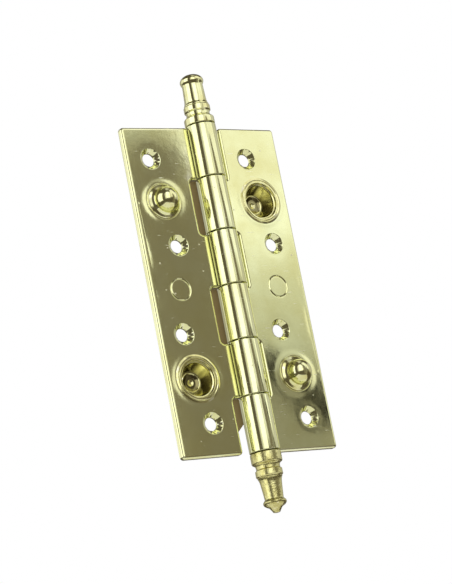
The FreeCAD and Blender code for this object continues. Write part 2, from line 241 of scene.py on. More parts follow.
def makeLight(s):
    world = bpy.data.worlds.new("softStudio")
    bpy.context.scene.world = world
    world.use_nodes = True
    tree = world.node_tree
    tree.nodes.clear()
    direction = addNode(tree, "ShaderNodeTexCoord").outputs["Generated"]
    axes = addNode(tree, "ShaderNodeSeparateXYZ", links={0: direction})
    behind = addNode(tree, "ShaderNodeMath", {"operation": "MULTIPLY", 1: -1.0}, {0: axes.outputs["Y"]})
    around = addNode(tree, "ShaderNodeMath", {"operation": "ARCTAN2"},
                     {0: axes.outputs["X"], 1: behind.outputs[0]})
    above = addNode(tree, "ShaderNodeMath", {"operation": "ARCSINE"}, {0: axes.outputs["Z"]})
    azimuth, elevation = (addNode(tree, "ShaderNodeMath", {"operation": "DEGREES"}, {0: turn.outputs[0]})
                          for turn in (around, above))
    total = None
    for facing, width, up, height, strength, soft in s["cards"].values():
        edges = []
        for angle, centre, size in ((azimuth, facing, width), (elevation, up, height)):
            away = angle
            for maths in ({"operation": "SUBTRACT", 1: centre}, {"operation": "WRAP", 1: 180.0, 2: -180.0},
                          {"operation": "ABSOLUTE"}):
                away = addNode(tree, "ShaderNodeMath", maths, {0: away.outputs[0]})
            edges.append(addNode(tree, "ShaderNodeMapRange", {
                "interpolation_type": "SMOOTHSTEP",
                "From Min": (size + soft) / 2, "From Max": (size - soft) / 2,
            }, {"Value": away.outputs[0]}))
        both = addNode(tree, "ShaderNodeMath", {"operation": "MULTIPLY"},
                       {0: edges[0].outputs[0], 1: edges[1].outputs[0]})
        total = addNode(tree, "ShaderNodeMath", {"operation": "MULTIPLY_ADD", 1: strength, 2: 0.0},
                        {0: both.outputs[0], **({2: total.outputs[0]} if total else {})})
    boards = addNode(tree, "ShaderNodeBackground", {"Color": hexToLinear(s["cardColour"])},
                     {"Strength": total.outputs[0]})
    room = addNode(tree, "ShaderNodeBackground", {"Color": hexToLinear(s["dark"])})
    lit = addNode(tree, "ShaderNodeAddShader", links={0: boards.outputs[0], 1: room.outputs[0]})
    paper = addNode(tree, "ShaderNodeBackground", {"Color": hexToLinear(s["backdrop"])})
    seen = addNode(tree, "ShaderNodeLightPath").outputs["Is Camera Ray"]
    mixed = addNode(tree, "ShaderNodeMixShader", links={0: seen, 1: lit.outputs[0], 2: paper.outputs[0]})
    addNode(tree, "ShaderNodeOutputWorld", links={"Surface": mixed.outputs[0]})

    bm = bmesh.new()
    bmesh.ops.create_grid(bm, x_segments=1, y_segments=1, size=s["floorSize"] / 2)
    bmesh.ops.translate(bm, verts=bm.verts, vec=(0, 0, -s["floorDrop"]))
    floor = meshObject("paleFloor", bm)
    floor.data.materials.append(
        mattPaint("matt white paper", s["floor"], s["floorRoughness"], s["backdrop"], s["floorGlow"]))
    ground = bpy.data.objects.new("paleGround", floor.data.copy())
    ground.data.transform(Matrix.Diagonal((s["groundScale"], s["groundScale"], 1.0, 1.0)))
    ground.data.transform(Matrix.Translation((0, 0, -s["groundDrop"])))
    ground.visible_glossy = False  # only the near floor is mirrored in the brass
    bpy.context.scene.collection.objects.link(ground)


def makeFlag(name, s):
    bm = bmesh.new()
    bm.faces.new([bm.verts.new((across * mm, -s["distance"] * mm, up * mm)) for across, up in s["outline"]])
    bm.transform(Matrix.Rotation(math.radians(s["azimuth"]), 4, "Z"))
    flag = meshObject(name, bm)
    cloth = bpy.data.materials.new(name + " cloth")
    cloth.use_nodes = True
    tree = cloth.node_tree
    tree.nodes.clear()
    glow = addNode(tree, "ShaderNodeEmission", {"Strength": s["brightness"]})
    if "tone" in s:
        glow.inputs["Color"].default_value = hexToLinear(s["tone"])
    else:
        place = addNode(tree, "ShaderNodeTexCoord").outputs["Object"]
        turned = addNode(tree, "ShaderNodeMapping", {"Rotation": (0, 0, -math.radians(s["azimuth"]))},
                         {"Vector": place})
        axes = addNode(tree, "ShaderNodeSeparateXYZ", links={0: turned.outputs[0]})
        rise, span, side = (
            addNode(tree, "ShaderNodeMapRange",
                    {"interpolation_type": kind, "From Min": s[key][0] * mm, "From Max": s[key][1] * mm},
                    {"Value": axes.outputs[axis]})
            for key, axis, kind in (("leftRise", "Z", "LINEAR"), ("rightSpan", "Z", "LINEAR"),
                                    ("change", "X", "SMOOTHSTEP")))
        left = addNode(tree, "ShaderNodeMix", {"data_type": "RGBA", 6: hexToLinear(s["leftLow"]),
                                               7: hexToLinear(s["leftHigh"])}, {0: rise.outputs[0]})
        right = addNode(tree, "ShaderNodeValToRGB", links={0: span.outputs[0]})
        for _ in s["rightTones"][2:]:
            right.color_ramp.elements.new(0.5)
        for stop, (where, tone) in zip(right.color_ramp.elements, s["rightTones"]):
            stop.position = where
            stop.color = hexToLinear(tone)
        across = addNode(tree, "ShaderNodeMix", {"data_type": "RGBA"},
                         {0: side.outputs[0], 6: left.outputs[2], 7: right.outputs[0]})
        tree.links.new(across.outputs[2], glow.inputs["Color"])
    addNode(tree, "ShaderNodeOutputMaterial", links={"Surface": glow.outputs[0]})
    flag.data.materials.append(cloth)
    flag.visible_camera = False
    flag.visible_shadow = False


makeLight(studioSet)
makeFlag("gradedFlag", flagSet)
makeFlag("cornerFlag", cornerFlagSet)
print("soft studio lit")

# Brass electroplate over polished steel: a thin yellow-green mirror, with hairlines from the
# polishing mop, small dust nibs under the plate and edges where the plate is rubbed paler.
leafFinish = {
    "name": "mop polished electro brass plate",
    "colour": "#f0f3be", "deep": "#e3e2a4", "rubbed": "#f7f8d2",
    "roughness": 0.09, "haze": 0.05, "mottleMm": 22.0, "peelMm": 2.4, "peelHeight": 0.016,
    "hairMm": 0.35, "hairHeight": 0.0006, "nibMm": 5.5, "nibSize": 0.055, "nibHeight": 0.02,
    "scuffMm": 0.5, "scuffHeight": 0.0015,
}
# Turned mild steel under the same plate, buffed by hand, so it is a little softer than the leaf.
studFinish = {
    "name": "turned and buffed brass plate",
    "colour": "#f1f3be", "deep": "#ddd894", "rubbed": "#f8f4cc",
    "roughness": 0.11, "haze": 0.05, "mottleMm": 6.0, "peelMm": 1.6, "peelHeight": 0.008,
    "hairMm": 0.25, "hairHeight": 0.0006, "nibMm": 5.0, "nibSize": 0.02, "nibHeight": 0.01,
}
# Deep drawn cup: draw marks run down the wall. Its inner colour is painted shade, laid inside the cup darker
# down the wall and on the floor.
cupFinish = {
    "name": "deep drawn brass plated cup",
    "colour": "#eeecb2", "deep": "#d8d28a", "rubbed": "#f8f6d0", "inner": "#5c5230",
    "roughness": 0.10, "haze": 0.06, "mottleMm": 5.0, "peelMm": 1.3, "peelHeight": 0.012,
    "hairMm": 0.25, "hairHeight": 0.0010, "nibMm": 4.0, "nibSize": 0.03, "nibHeight": 0.012,
}
# Solid brass polished in the lathe: the sharpest mirror here, with the faintest lines.
upperFinish = {
    "name": "lathe polished solid brass",
    "colour": "#f1f3be", "deep": "#e0da98", "rubbed": "#f8f4cc",
    "roughness": 0.07, "haze": 0.04, "mottleMm": 7.0, "peelMm": 1.8, "peelHeight": 0.009,
    "hairMm": 0.22, "hairHeight": 0.0008, "nibMm": 4.5, "nibSize": 0.025, "nibHeight": 0.01,
}
# Sand-fine investment casting, only lightly polished, so its grain still breaks up the light.
lowerFinish = {
    "name": "lightly polished grainy cast brass",
    "colour": "#e4e0a0", "deep": "#c0b870", "rubbed": "#f4eec0",
    "roughness": 0.20, "haze": 0.10, "mottleMm": 4.0, "peelMm": 0.9, "peelHeight": 0.12,
    "hairMm": 0.5, "hairHeight": 0.0010, "nibMm": 1.6, "nibSize": 0.10, "nibHeight": 0.03,
}
# Bright drawn mild steel bar: grey, with fine lines along the draw and a little oil.
pinFinish = {
    "name": "bright drawn steel bar",
    "colour": "#c4c1b8", "deep": "#98938a", "rubbed": "#dedbd2",
    "roughness": 0.24, "haze": 0.10, "mottleMm": 5.0, "peelMm": 1.5, "peelHeight": 0.010,
    "hairMm": 0.2, "hairHeight": 0.0020, "nibMm": 3.0, "nibSize": 0.03, "nibHeight": 0.01,
}
# What the finishes share. A pair says where a pattern starts and where it is full. A "Rough" is
# added to the roughness there, a "Turn" is in radians, and a "Stretch" draws the pattern out.
patternSet = {
    "blotch": (0.38, 0.68), "blotchDetail": 4.0, "blotchRoughness": 0.6, "rub": (0.51, 0.60),
    "hair": (0.52, 0.72), "hairDetail": 3.0, "hairTurn": 0.06, "hairStretch": 0.045, "hairRough": 0.05,
    "nib": "#e6e2c0", "nibFade": 1.6, "nibPick": 0.45, "nibRough": 0.3,
    "scuff": (0.69, 0.74), "scuffTurn": 0.75, "scuffStretch": 0.07, "scuffRough": 0.22,
}


def makeMetal(s):
    p = patternSet
    material = bpy.data.materials.new(s["name"])
    material.use_nodes = True
    tree = material.node_tree
    tree.nodes.clear()
    place = addNode(tree, "ShaderNodeTexCoord").outputs["Object"]
    mottle = addNode(tree, "ShaderNodeTexNoise", {
        "Scale": 1 / (s["mottleMm"] * mm), "Detail": p["blotchDetail"], "Roughness": p["blotchRoughness"],
    }, {"Vector": place})
    # hairlines: noise drawn out along the pin
    drawn = addNode(tree, "ShaderNodeMapping", {
        "Rotation": (0.0, p["hairTurn"], 0.0), "Scale": (1.0, 1.0, p["hairStretch"])}, {"Vector": place})
    hair = addNode(tree, "ShaderNodeTexNoise", {"Scale": 1 / (s["hairMm"] * mm), "Detail": p["hairDetail"]},
                   {"Vector": drawn.outputs[0]})
    peel = addNode(tree, "ShaderNodeTexNoise", {"Scale": 1 / (s["peelMm"] * mm)}, {"Vector": place})
    cells = addNode(tree, "ShaderNodeTexVoronoi", {"Scale": 1 / (s["nibMm"] * mm)}, {"Vector": place})
    sharpness = addNode(tree, "ShaderNodeNewGeometry").outputs["Pointiness"]
    blotch, lines, speck, rub = (
        addNode(tree, "ShaderNodeMapRange", {"From Min": low, "From Max": high}, {"Value": source}).outputs[0]
        for source, (low, high) in (
            (mottle.outputs[0], p["blotch"]), (hair.outputs[0], p["hair"]),
            (cells.outputs["Distance"], (s["nibSize"] * p["nibFade"], s["nibSize"])), (sharpness, p["rub"])))
    # nibs: only some of the cells hold one small hard speck
    pick = addNode(tree, "ShaderNodeSeparateColor", links={0: cells.outputs["Color"]})
    chosen = addNode(tree, "ShaderNodeMath", {"operation": "GREATER_THAN", 1: p["nibPick"]},
                     {0: pick.outputs[0]})
    held = addNode(tree, "ShaderNodeMath", {"operation": "MULTIPLY"}, {0: speck, 1: chosen.outputs[0]})
    nib = held.outputs[0]
    # each layer lies over the one before it
    tones = [(rub, s["rubbed"]), (nib, p["nib"])]
    grains = [(blotch, s["haze"]), (lines, p["hairRough"]), (nib, p["nibRough"])]
    reliefs = [(peel.outputs[0], s["peelHeight"]), (lines, s["hairHeight"]), (nib, s["nibHeight"])]
    if "scuffMm" in s:
        # short wipe scratches that cross the hairlines
        turned = addNode(tree, "ShaderNodeMapping", {
            "Rotation": (0.0, p["scuffTurn"], 0.0), "Scale": (p["scuffStretch"], 1.0, 1.0),
        }, {"Vector": place})
        wipe = addNode(tree, "ShaderNodeTexNoise", {"Scale": 1 / (s["scuffMm"] * mm)},
                       {"Vector": turned.outputs[0]})
        scuff = addNode(tree, "ShaderNodeMapRange", {"From Min": p["scuff"][0], "From Max": p["scuff"][1]},
                        {"Value": wipe.outputs[0]}).outputs[0]
        tones.append((scuff, s["rubbed"]))
        grains.append((scuff, p["scuffRough"]))
        reliefs.append((scuff, s["scuffHeight"]))
    # painted shade: the inside attribute mixes in the dark inner colour, deepest in the cup
    if "inner" in s:
        inside = addNode(tree, "ShaderNodeAttribute", {"attribute_name": "inside"})
        tones.append((inside.outputs["Fac"], s["inner"]))
    colour = addNode(tree, "ShaderNodeMix", {"data_type": "RGBA", 6: hexToLinear(s["colour"]),
                                             7: hexToLinear(s["deep"])}, {0: blotch})
    for pattern, tone in tones:
        colour = addNode(tree, "ShaderNodeMix", {"data_type": "RGBA", 7: hexToLinear(tone)},
                         {0: pattern, 6: colour.outputs[2]})
    rough = bump = None
    for pattern, share in grains:
        rough = addNode(tree, "ShaderNodeMath", {"operation": "MULTIPLY_ADD", 1: share, 2: s["roughness"]},
                        {0: pattern, **({2: rough.outputs[0]} if rough else {})})
    for pattern, height in reliefs:
        bump = addNode(tree, "ShaderNodeBump", {"Distance": height * mm},
                       {"Height": pattern, **({"Normal": bump.outputs[0]} if bump else {})})
    shader = addNode(tree, "ShaderNodeBsdfPrincipled", {"Metallic": 1.0}, {
        "Base Color": colour.outputs[2], "Roughness": rough.outputs[0], "Normal": bump.outputs[0]})
    addNode(tree, "ShaderNodeOutputMaterial", links={"Surface": shader.outputs[0]})
    return material


leafMetal, studMetal, cupMetal, upperMetal, lowerMetal, pinMetal = (
    makeMetal(s) for s in (leafFinish, studFinish, cupFinish, upperFinish, lowerFinish, pinFinish))
print("metals mixed")


mounts = {m["name"]: m for m in record["mounts"]}
leafLow, leafHigh = (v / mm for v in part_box("frame_leaf"))
studLow, studHigh = (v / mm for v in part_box("frame_stud"))
cupLow, cupHigh = (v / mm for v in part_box("frame_socket"))
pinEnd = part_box("hinge_pin")[1].z / mm
backAxis = mounts["door_back"]["axis"]
tiltBack = math.atan2(-backAxis[0], backAxis[1])
doorPlace = Matrix.Rotation(tiltBack, 4, "Z") @ Matrix.Rotation(math.pi, 4, "Y")
sheetBack = mounts["frame_back"]["pos_m"][1] / mm
outerScrews, innerScrews = mounts["frame_screws_outer"], mounts["frame_screws_inner"]

leafSet = {
    "reach": -leafLow.x, "top": leafHigh.z, "barrel": leafHigh.x, "back": sheetBack,
    "sheet": 3.0, "bore": 3.8, "knuckles": 6, "gap": 0.5, "notch": 3.4, "tail": 6.9,
    "notchCorner": 3.0, "outerCorner": 1.5, "edgeRound": 1.2, "edgeSteps": 6, "edgeSupport": 0.12,
    "backBevel": 0.25, "backBreak": 0.12, "seam": 0.3, "swage": 2.5, "knuckleRound": 0.35,
    "screwRadius": outerScrews["dims"]["hole_r_mm"], "sinkRadius": 4.85, "sinkRim": 0.22,
    "holeSegments": 72, "chatter": 0.075, "chatterCount": 12,
    "studHole": 5.02, "rivetHole": 6.22, "rivetDepth": 1.2,
    "cupHole": 9.32, "stakeHole": 10.12, "stakeDepth": 0.8,
    "markRadius": 4.85, "markHalfWidth": 0.38, "markDepth": 0.25, "markFall": 2.5,
    "screwDish": 0.05, "dishWidth": 1.9,
    "studSwell": 0.15, "studWidth": 1.6, "cupSwell": 0.10, "cupWidth": 1.4,
    "waveHeight": 0.05, "waveMm": 26.0, "waveSeed": 7.3, "flatEdge": 2.5, "flatFade": 4.0,
    "plateWeld": 2e-7, "joinWeld": 2e-6,
}
leafSet["front"] = leafSet["back"] - leafSet["sheet"]
leafSet["knuckle"] = (2 * leafSet["top"] - (leafSet["knuckles"] - 1) * leafSet["gap"]) / leafSet["knuckles"]
leafSet["pitch"] = 2 * (leafSet["knuckle"] + leafSet["gap"])
screwCentres = [
    (m["pos_m"][0] / mm, m["pos_m"][2] / mm + side * m["dims"]["spacing_y_mm"] / 2)
    for m in (outerScrews, innerScrews) for side in (1, -1)
]
screwCentres.sort(key=lambda c: -c[1])
studCentre = ((studLow.x + studHigh.x) / 2, (studLow.z + studHigh.z) / 2)
cupCentre = ((cupLow.x + cupHigh.x) / 2, (cupLow.z + cupHigh.z) / 2)
studFlange, cupFlange = (studHigh.x - studLow.x) / 2, (cupHigh.x - cupLow.x) / 2
markCentre = (studCentre[0], 0.0)


def leafOutline(s):
    # (x, z, fillet) round the plate and its three necks, counter-clockwise seen from the front
    notchX = -(s["barrel"] + s["notch"])
    corners = [(-s["reach"], s["top"], s["outerCorner"]), (-s["reach"], -s["top"], s["outerCorner"])]
    corners.append((notchX, -s["top"], s["outerCorner"]))
    spans = []
    for i in range(s["knuckles"] // 2):
        high = s["top"] - i * s["pitch"]
        spans.append((high - s["knuckle"], high))
    for low, high in reversed(spans):
        corners.append((notchX, low, s["notchCorner"]))
        corners.append((-s["tail"], low, 0))
        corners.append((-s["tail"], high, 0))
        if high < s["top"] - tiny:
            corners.append((notchX, high, s["notchCorner"]))
    return corners, notchX


def closedRounded(corners, steps=6):
    doubled = [corners[-1]] + corners + [corners[0]]
    path = []
    for i in range(1, len(doubled) - 1):
        piece = roundedPath(doubled[i - 1:i + 2], steps)
        path += piece[1:-1]
    return path


def insetLoop(points, distance, tailX):
    # the loop moved inwards; an edge that lies on the tail line stays where it is
    parallel = 1e-3  # a smaller turn counts as straight
    count = len(points)
    moved = []
    for i in range(count):
        here = Vector(points[i])
        ends = [(Vector(points[i - 1]), here), (here, Vector(points[(i + 1) % count]))]
        rows = []
        for a, b in ends:
            edge = (b - a).normalized()
            inward = Vector((-edge.y, edge.x))
            still = abs(a.x - tailX) < tiny and abs(b.x - tailX) < tiny
            rows.append((inward, inward.dot(here) + (0 if still else distance)))
        (n1, d1), (n2, d2) = rows
        cross = n1.x * n2.y - n1.y * n2.x
        if abs(cross) < parallel:
            moved.append(tuple(here + (n1 + n2).normalized() * distance))
        else:
            moved.append(((d1 * n2.y - d2 * n1.y) / cross, (n1.x * d2 - n2.x * d1) / cross))
    return moved


def pressedDepth(s, x, z):
    # how far the polished face is pulled in beside the sinks, and swells up round what is staked in
    swells = [(c, s["sinkRadius"] + s["sinkRim"], s["screwDish"], s["dishWidth"]) for c in screwCentres]
    swells += [(studCentre, studFlange, -s["studSwell"], s["studWidth"]),
               (cupCentre, cupFlange, -s["cupSwell"], s["cupWidth"])]
    depth = 0.0
    for centre, edge, dish, width in swells:
        beyond = max(math.hypot(x - centre[0], z - centre[1]) - edge, 0)
        depth += dish * math.exp(-(beyond / width) ** 2)
    fromMark = math.hypot(x - markCentre[0], z - markCentre[1]) - s["markRadius"]
    depth += s["markDepth"] * math.exp(-s["markFall"] * (fromMark / s["markHalfWidth"]) ** 2)
    wave = noise.noise(Vector((x, z, s["waveSeed"])) / s["waveMm"])
    edgeFade = min(1.0, max(0.0, (-s["tail"] - s["flatEdge"] - x) / s["flatFade"]))
    return (depth + s["waveHeight"] * wave) * edgeFade


def insideLoop(p, loop):
    inside = False
    for a, b in zip(loop, loop[1:] + loop[:1]):
        if (a.y > p.y) != (b.y > p.y) and p.x < (b.x - a.x) * (p.y - a.y) / (b.y - a.y) + a.x:
            inside = not inside
    return inside


def fillPlane(bm, y, outline, holes, extra, flip, depthOf=None):
    # a flat face between outline and holes, with loose points where it has to bend
    widest = 25.0  # millimetres; no hole is wider than this
    points, edges = [], []
    for loop in [outline] + holes:
        start = len(points)
        points += loop
        edges += [(start + i, start + (i + 1) % len(loop)) for i in range(len(loop))]
    points += extra
    flat, _, faces, *_ = geometry.delaunay_2d_cdt([Vector(p) for p in points], edges, [], 0, weld)
    verts = []
    for p in flat:
        depth = depthOf(p.x, p.y) if depthOf else 0.0
        verts.append(bm.verts.new((p.x * mm, (y + depth) * mm, p.y * mm)))
    outer = [Vector(p) for p in outline]
    rims = [[Vector(p) for p in hole] for hole in holes]
    for face in faces:
        middle = sum((flat[i] for i in face), Vector((0, 0))) / len(face)
        near = [rim for rim in rims if (rim[0] - middle).length < widest]
        if not insideLoop(middle, outer) or any(insideLoop(middle, rim) for rim in near):
            continue
        a, b, c = (flat[i] for i in face[:3])
        turning = (b - a).cross(c - a) > 0
        order = face if turning != flip else tuple(reversed(face))
        bm.faces.new([verts[i] for i in order])


def addBand(bm, low, high):
    # a strip of quads between two closed loops of (x, y, z)
    count = len(low)
    first = [bm.verts.new(Vector(p) * mm) for p in low]
    second = [bm.verts.new(Vector(p) * mm) for p in high]
    for i in range(count):
        j = (i + 1) % count
        bm.faces.new([first[i], first[j], second[j], second[i]])


# Where the polished face gets loose points, in millimetres: rings beyond each edge and across the
# mark, and a grid in between. A cell is how close two points may lie.
pointSet = {
    "rings": (0.12, 0.4, 0.8, 1.3, 1.9, 2.6, 3.4, 4.4),
    "ringSegments": 96, "ringCell": 0.13, "ringReach": 4.9,
    "markRings": (-2.2, -1.4, -1.0, -0.7, -0.4, 0.0, 0.4, 0.7, 1.0, 1.4, 2.2), "markReach": 1.4,
    "underStud": 7.0, "underCup": 10.2, "sinkClear": 0.1, "holeClear": 0.3, "edgeClear": 0.45,
    "neckReach": 1.0, "grid": 2.0, "gridCell": 0.5, "gridStart": 2.4, "gridEnd": 1.5,
}


def loosePoints(s, p, outline, notchX):
    sinkEdge = s["sinkRadius"] + s["sinkRim"]
    edges = [(c, sinkEdge) for c in screwCentres] + [(studCentre, studFlange), (cupCentre, cupFlange)]
    rings = [(centre, edge + step) for centre, edge in edges for step in p["rings"]]
    rings += [(markCentre, s["markRadius"] + step * s["markHalfWidth"]) for step in p["markRings"]]
    rings += [(studCentre, p["underStud"]), (cupCentre, p["underCup"])]
    inner = [Vector(q) for q in insetLoop(outline, s["edgeRound"] + p["edgeClear"], -s["tail"])]
    keepOut = [(c, sinkEdge + p["sinkClear"]) for c in screwCentres]
    keepOut += [(studCentre, s["studHole"] + p["holeClear"]), (cupCentre, s["cupHole"] + p["holeClear"])]
    kept, taken = [], set()

    def offer(x, z, cell):
        key = (round(x / cell), round(z / cell), cell)
        clear = all(math.hypot(x - c[0], z - c[1]) > r - tiny for c, r in keepOut)
        if key not in taken and clear and insideLoop(Vector((x, z)), inner) and x < notchX + p["neckReach"]:
            taken.add(key)
            kept.append((x, z))

    for centre, radius in rings:
        for x, z in ringPoints(*centre, radius, p["ringSegments"]):
            offer(x, z, p["ringCell"])
    near = [(c, edge + p["ringReach"]) for c, edge in edges]
    near.append((markCentre, s["markRadius"] + p["markReach"]))
    x = -s["reach"] + p["gridStart"]
    while x < -s["tail"] - p["gridEnd"]:
        z = -s["top"] + p["gridStart"]
        while z < s["top"] - p["gridEnd"]:
            if all(math.hypot(x - c[0], z - c[1]) > r for c, r in near):
                offer(x, z, p["gridCell"])
            z += p["grid"]
        x += p["grid"]
    return kept


def plateMesh(s):
    bm = bmesh.new()
    corners, notchX = leafOutline(s)
    outline = closedRounded(corners)
    # from the back's bevel up the side and round the front edge, to a support loop just inside it
    levels = [(s["backBevel"], s["back"]), (0.0, s["back"] - s["backBevel"])]
    levels += [(s["edgeRound"] * (1 - cosine), s["front"] + s["edgeRound"] * (1 - sine))
               for cosine, sine in quarterTurn(s["edgeSteps"], 0)]
    levels.append((s["edgeRound"] + s["edgeSupport"], s["front"]))
    loops = []
    for inset, y in levels:
        flat = insetLoop(outline, inset, -s["tail"]) if inset else outline
        loops.append([(x, y, z) for x, z in flat])
    for low, high in zip(loops, loops[1:]):
        addBand(bm, low, high)
    backLoop, frontLoop = ([(x, z) for x, _, z in loop] for loop in (loops[0], loops[-1]))
    count = s["holeSegments"]
    frontHoles, backHoles = (
        [ringPoints(*c, screw, count) for c in screwCentres]
        + [ringPoints(*studCentre, stud, count), ringPoints(*cupCentre, cup, count)]
        for screw, stud, cup in ((s["sinkRadius"] + s["sinkRim"], s["studHole"], s["cupHole"]),
                                 (s["screwRadius"] + s["backBreak"], s["rivetHole"], s["stakeHole"])))
    fillPlane(bm, s["front"], frontLoop, frontHoles, loosePoints(s, pointSet, outline, notchX), False,
              lambda x, z: pressedDepth(s, x, z))
    fillPlane(bm, s["back"], backLoop, backHoles, [], True)
    for centre, front, back, depth in ((studCentre, s["studHole"], s["rivetHole"], s["rivetDepth"]),
                                       (cupCentre, s["cupHole"], s["stakeHole"], s["stakeDepth"])):
        rim, foot = ringPoints(*centre, front, count), ringPoints(*centre, back, count)
        waist = [(x, s["back"] - depth, z) for x, z in rim]
        top = [(x, s["front"] + pressedDepth(s, x, z), z) for x, z in rim]
        addBand(bm, [(x, s["back"], z) for x, z in foot], waist)
        addBand(bm, waist, top)
    return bm


def sinkMesh(s):
    # one countersink with broken edges, on its own centre, from the face to the back of the sheet
    radius, hole = s["sinkRadius"], s["screwRadius"]
    face, throat = s["front"] + s["screwDish"], s["front"] + radius - hole
    path = [
        (radius + s["sinkRim"], face), (radius + 0.10, face + 0.02), (radius - 0.02, face + 0.10),
        (radius - 0.10, face + 0.18), (hole + 0.12, throat - 0.06), (hole + 0.02, throat + 0.04),
        (hole, throat + 0.16), (hole, s["back"] - 0.14), (hole + s["backBreak"], s["back"]),
    ]
    wall = (path[3], path[4])  # the countersink left chatter marks down this stretch
    bm = bmesh.new()
    loops = []
    for r, y in path:
        loop = []
        for i, (x, z) in enumerate(ringPoints(0, 0, 1, s["holeSegments"])):
            turn = 2 * math.pi * i / s["holeSegments"]
            sway = 0.0
            if (r, y) in wall:
                sway = s["chatter"] * math.sin(s["chatterCount"] * turn + math.sin(3 * turn))
            loop.append((x * (r + sway), y, z * (r + sway)))
        loops.append(loop)
    for first, second in zip(loops, loops[1:]):
        addBand(bm, first, second)
    bmesh.ops.remove_doubles(bm, verts=bm.verts, dist=weld)
    return bm


knuckleSet = {
    "outerSteps": 84, "swageSteps": 8, "boreSteps": 60, "lipFlat": 0.55, "lipRound": 0.28, "lipDrop": 0.02,
    "lipTurn": 2.2, "boreTurn": 0.02, "skin": 0.9, "neckClear": 0.3, "shortest": 1e-4,
    "round": ((1.0, 0.0), (0.62, 0.08), (0.29, 0.29), (0.08, 0.62), (0.0, 1.0)),
}


def knuckleMesh(s, k):
    # one rolled knuckle, a C in section, with its top end at z = 0
    barrel, bore, front, back = s["barrel"], s["bore"], s["front"], s["back"]
    lipY, tail = front - s["seam"], -s["tail"]
    swageY = back + s["swage"]
    swageX = -math.sqrt((barrel + s["swage"]) ** 2 - swageY ** 2)
    touch = Vector((swageX, swageY)) * barrel / (barrel + s["swage"])
    section = []

    def arc(radius, start, end, steps, cx=0.0, cy=0.0):
        for i in range(steps + 1):
            a = start + (end - start) * i / steps
            section.append((cx + radius * math.cos(a), cy + radius * math.sin(a)))

    # round the outside from the lip through the front, the far side and the back to the swage
    lipAngle = math.pi - math.asin(lipY / barrel) + math.radians(k["lipTurn"])
    section.append((-math.sqrt(bore ** 2 - lipY ** 2), lipY))
    section.append((-barrel + k["lipFlat"], lipY))
    section.append((-barrel + k["lipRound"], lipY - k["lipDrop"]))
    arc(barrel, lipAngle, math.atan2(touch.y, touch.x) + 2 * math.pi, k["outerSteps"])
    swageStart = math.atan2(touch.y - swageY, touch.x - swageX)
    arc(s["swage"], swageStart, -math.pi / 2, k["swageSteps"], swageX, swageY)
    section += [(tail, back), (tail, front), (-math.sqrt(bore ** 2 - front ** 2), front)]
    boreStart = math.pi - math.asin(front / bore) - k["boreTurn"]
    boreEnd = -math.pi - math.asin(lipY / bore) + k["boreTurn"]
    arc(bore, boreStart, boreEnd, k["boreSteps"])
    section = [p for i, p in enumerate(section) if math.dist(p, section[i - 1]) > k["shortest"]]
    count = len(section)
    if sum(a[0] * b[1] - b[0] * a[1] for a, b in zip(section, section[1:] + section[:1])) < 0:
        section.reverse()

    def rounded(i, inset):
        # only the outer skin is rounded off; the bore and the hidden tail stay square
        x, y = section[i]
        if math.hypot(x, y) <= bore + k["skin"] or x <= tail + k["neckClear"]:
            return x, y
        edge = (Vector(section[(i + 1) % count]) - Vector(section[i - 1])).normalized()
        return x - edge.y * inset, y + edge.x * inset

    steps = [(s["knuckleRound"] * a, s["knuckleRound"] * b) for a, b in k["round"]]
    stations = [(inset, -deep) for inset, deep in steps]
    stations += [(inset, deep - s["knuckle"]) for inset, deep in reversed(steps)]
    bm = bmesh.new()
    loops = []
    for inset, z in stations:
        loop = [rounded(i, inset) for i in range(count)]
        loops.append([bm.verts.new((x * mm, y * mm, z * mm)) for x, y in loop])
    for low, high in zip(loops, loops[1:]):
        for i in range(count):
            j = (i + 1) % count
            bm.faces.new([low[i], high[i], high[j], low[j]])
    bm.faces.new(loops[0])
    bm.faces.new(list(reversed(loops[-1])))
    bmesh.ops.triangulate(bm, faces=[f for f in bm.faces if len(f.verts) > 4])
    bmesh.ops.recalc_face_normals(bm, faces=bm.faces)
    return bm


def rowTree(name):
    # copies of the incoming geometry along the pin, every second one pushed sideways
    tree = bpy.data.node_groups.new(name, "GeometryNodeTree")
    for label, side, kind, value in (
            ("Geometry", "INPUT", "Geometry", None), ("Count", "INPUT", "Int", 3),
            ("Start", "INPUT", "Vector", (0, 0, 0)), ("Spacing", "INPUT", "Float", 0.05),
            ("Sidestep", "INPUT", "Float", 0.0), ("Metal", "INPUT", "Material", None),
            ("Geometry", "OUTPUT", "Geometry", None)):
        socket = tree.interface.new_socket(label, in_out=side, socket_type="NodeSocket" + kind)
        if value is not None:
            socket.default_value = value
    given = addNode(tree, "NodeGroupInput").outputs
    drop = addNode(tree, "ShaderNodeMath", {"operation": "MULTIPLY", 1: -1.0}, {0: given["Spacing"]})
    step = addNode(tree, "ShaderNodeCombineXYZ", links={"Z": drop.outputs[0]})
    line = addNode(tree, "GeometryNodeMeshLine", links={
        "Count": given["Count"], "Start Location": given["Start"], "Offset": step.outputs[0]})
    index = addNode(tree, "GeometryNodeInputIndex")
    odd = addNode(tree, "ShaderNodeMath", {"operation": "MODULO", 1: 2.0}, {0: index.outputs[0]})
    sideways = addNode(tree, "ShaderNodeMath", {"operation": "MULTIPLY"},
                       {0: odd.outputs[0], 1: given["Sidestep"]})
    shift = addNode(tree, "ShaderNodeCombineXYZ", links={"X": sideways.outputs[0]})
    spread = addNode(tree, "GeometryNodeSetPosition", links={
        "Geometry": line.outputs[0], "Offset": shift.outputs[0]})
    copies = addNode(tree, "GeometryNodeInstanceOnPoints", links={
        "Points": spread.outputs[0], "Instance": given["Geometry"]})
    real = addNode(tree, "GeometryNodeRealizeInstances", links={0: copies.outputs[0]})
    coated = addNode(tree, "GeometryNodeSetMaterial", links={
        "Geometry": real.outputs[0], "Material": given["Metal"]})
    addNode(tree, "NodeGroupOutput", links={0: coated.outputs[0]})
    return tree


